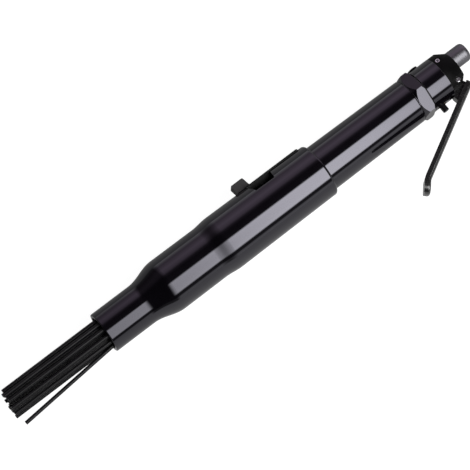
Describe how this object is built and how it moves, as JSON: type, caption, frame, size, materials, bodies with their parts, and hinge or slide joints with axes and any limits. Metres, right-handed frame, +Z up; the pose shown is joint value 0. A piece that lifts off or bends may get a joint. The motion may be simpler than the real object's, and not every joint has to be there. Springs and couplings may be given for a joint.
{
  "type": "needle scaler",
  "caption": "Inline air needle scaler with throttle lever, hexagon barrel, sliding needle sleeve with catch, and a bundle of steel needles.",
  "frame": {"origin": "centre of the air inlet's mouth", "axes": "+X out of the inlet, so the needles point along -X; the lever opens towards -Y; +Z is up with the tool lying on its side"},
  "size_m": [0.4365, 0.0949, 0.045],
  "materials": {
    "gloss_black": "gloss black",
    "head_black": "satin black",
    "inlet_grey": "satin grey",
    "lever_black": "semi-gloss black",
    "catch_grey": "dark phosphated",
    "dark_steel": "dark drawn steel",
    "steel": "ground",
    "brass": "machined",
    "rubber": "matt",
    "seat_plastic": "moulded"
  },
  "bodies": {
    "body": {"rear_head": "head_black", "inlet_bushing": "inlet_grey", "inlet_screen": "steel", "inlet_lock_screw": "steel", "lever_pin": "steel", "throttle_housing": "gloss_black", "valve_bush": "brass", "stem_seal": "rubber", "valve_seat": "seat_plastic", "valve_spring": "steel", "valve_plug": "dark_steel", "plug_seal": "rubber", "gap_ring": "rubber", "spigot_seal": "rubber", "barrel": "gloss_black", "valve_box": "steel", "valve_cap": "steel", "valve_dowel": "steel", "anvil_bush": "brass", "nose_clip": "dark_steel", "buffer_ring": "rubber"},
    "throttle_lever": {"lever": "lever_black"},
    "throttle_valve": {"valve_stem": "steel", "valve_ball": "steel"},
    "distributor_plate": {"valve_plate": "steel"},
    "hammer": {"piston": "steel"},
    "anvil_body": {"anvil": "steel"},
    "needle_sleeve": {"sleeve": "gloss_black", "catch_pin": "steel", "catch_spring": "steel", "holder_ring": "dark_steel", "needle_spring": "steel"},
    "sleeve_catch": {"catch": "catch_grey"},
    "holder_body": {"needle_holder": "dark_steel"},
    "needle_01_body": {"needle_01": "dark_steel"},
    "needle_02_body": {"needle_02": "dark_steel"},
    "needle_03_body": {"needle_03": "dark_steel"},
    "needle_04_body": {"needle_04": "dark_steel"},
    "needle_05_body": {"needle_05": "dark_steel"},
    "needle_06_body": {"needle_06": "dark_steel"},
    "needle_07_body": {"needle_07": "dark_steel"},
    "needle_08_body": {"needle_08": "dark_steel"},
    "needle_09_body": {"needle_09": "dark_steel"},
    "needle_10_body": {"needle_10": "dark_steel"},
    "needle_11_body": {"needle_11": "dark_steel"},
    "needle_12_body": {"needle_12": "dark_steel"},
    "needle_13_body": {"needle_13": "dark_steel"},
    "needle_14_body": {"needle_14": "dark_steel"},
    "needle_15_body": {"needle_15": "dark_steel"},
    "needle_16_body": {"needle_16": "dark_steel"},
    "needle_17_body": {"needle_17": "dark_steel"},
    "needle_18_body": {"needle_18": "dark_steel"},
    "needle_19_body": {"needle_19": "dark_steel"}
  },
  "joints": [
    {"name": "lever_hinge", "type": "hinge", "parent": "body", "child": "throttle_lever", "pos_m": [-0.023, -0.0168, 0], "axis": [0, 0, -1], "range_deg": [0, 22.5], "stiffness_Nm_per_rad": 0.8, "springref_deg": -11.46},
    {"name": "stem_slide", "type": "slide", "parent": "body", "child": "throttle_valve", "axis": [0, 1, 0], "range_m": [0, 0.004], "deforming": ["valve_spring"]},
    {"name": "plate_slide", "type": "slide", "parent": "body", "child": "distributor_plate", "axis": [-1, 0, 0], "range_m": [0, 0.0014]},
    {"name": "piston_slide", "type": "slide", "parent": "body", "child": "hammer", "axis": [-1, 0, 0], "range_m": [0, 0.0561]},
    {"name": "anvil_slide", "type": "slide", "parent": "body", "child": "anvil_body", "axis": [-1, 0, 0], "range_m": [0, 0.0045]},
    {"name": "sleeve_slide", "type": "slide", "parent": "body", "child": "needle_sleeve", "axis": [1, 0, 0], "range_m": [0, 0.005], "stiffness_N_per_m": 2500, "springref_m": -0.012, "deforming": ["needle_spring"]},
    {"name": "catch_hinge", "type": "hinge", "parent": "needle_sleeve", "child": "sleeve_catch", "pos_m": [-0.156, 0.0125, 0], "axis": [0, 0, -1], "range_deg": [0, 5], "stiffness_Nm_per_rad": 0.4, "springref_deg": -17.19},
    {"name": "holder_slide", "type": "slide", "parent": "body", "child": "holder_body", "axis": [-1, 0, 0], "range_m": [0, 0.006], "stiffness_N_per_m": 2500, "springref_m": -0.012, "deforming": ["needle_spring"]},
    {"name": "needle_01_slide", "type": "slide", "parent": "holder_body", "child": "needle_01_body", "axis": [1, 0, 0], "range_m": [0, 0.004]},
    {"name": "needle_02_slide", "type": "slide", "parent": "holder_body", "child": "needle_02_body", "axis": [1, 0, 0], "range_m": [0, 0.004]},
    {"name": "needle_03_slide", "type": "slide", "parent": "holder_body", "child": "needle_03_body", "axis": [1, 0, 0], "range_m": [0, 0.004]},
    {"name": "needle_04_slide", "type": "slide", "parent": "holder_body", "child": "needle_04_body", "axis": [1, 0, 0], "range_m": [0, 0.004]},
    {"name": "needle_05_slide", "type": "slide", "parent": "holder_body", "child": "needle_05_body", "axis": [1, 0, 0], "range_m": [0, 0.004]},
    {"name": "needle_06_slide", "type": "slide", "parent": "holder_body", "child": "needle_06_body", "axis": [1, 0, 0], "range_m": [0, 0.004]},
    {"name": "needle_07_slide", "type": "slide", "parent": "holder_body", "child": "needle_07_body", "axis": [1, 0, 0], "range_m": [0, 0.004]},
    {"name": "needle_08_slide", "type": "slide", "parent": "holder_body", "child": "needle_08_body", "axis": [1, 0, 0], "range_m": [0, 0.004]},
    {"name": "needle_09_slide", "type": "slide", "parent": "holder_body", "child": "needle_09_body", "axis": [1, 0, 0], "range_m": [0, 0.004]},
    {"name": "needle_10_slide", "type": "slide", "parent": "holder_body", "child": "needle_10_body", "axis": [1, 0, 0], "range_m": [0, 0.004]},
    {"name": "needle_11_slide", "type": "slide", "parent": "holder_body", "child": "needle_11_body", "axis": [1, 0, 0], "range_m": [0, 0.004]},
    {"name": "needle_12_slide", "type": "slide", "parent": "holder_body", "child": "needle_12_body", "axis": [1, 0, 0], "range_m": [0, 0.004]},
    {"name": "needle_13_slide", "type": "slide", "parent": "holder_body", "child": "needle_13_body", "axis": [1, 0, 0], "range_m": [0, 0.004]},
    {"name": "needle_14_slide", "type": "slide", "parent": "holder_body", "child": "needle_14_body", "axis": [1, 0, 0], "range_m": [0, 0.004]},
    {"name": "needle_15_slide", "type": "slide", "parent": "holder_body", "child": "needle_15_body", "axis": [1, 0, 0], "range_m": [0, 0.004]},
    {"name": "needle_16_slide", "type": "slide", "parent": "holder_body", "child": "needle_16_body", "axis": [1, 0, 0], "range_m": [0, 0.004]},
    {"name": "needle_17_slide", "type": "slide", "parent": "holder_body", "child": "needle_17_body", "axis": [1, 0, 0], "range_m": [0, 0.004]},
    {"name": "needle_18_slide", "type": "slide", "parent": "holder_body", "child": "needle_18_body", "axis": [1, 0, 0], "range_m": [0, 0.004]},
    {"name": "needle_19_slide", "type": "slide", "parent": "holder_body", "child": "needle_19_body", "axis": [1, 0, 0], "range_m": [0, 0.004]}
  ],
  "couplings": [
    {"joint": "stem_slide", "follows": "lever_hinge", "m_per_rad": 0.01018}
  ]
}
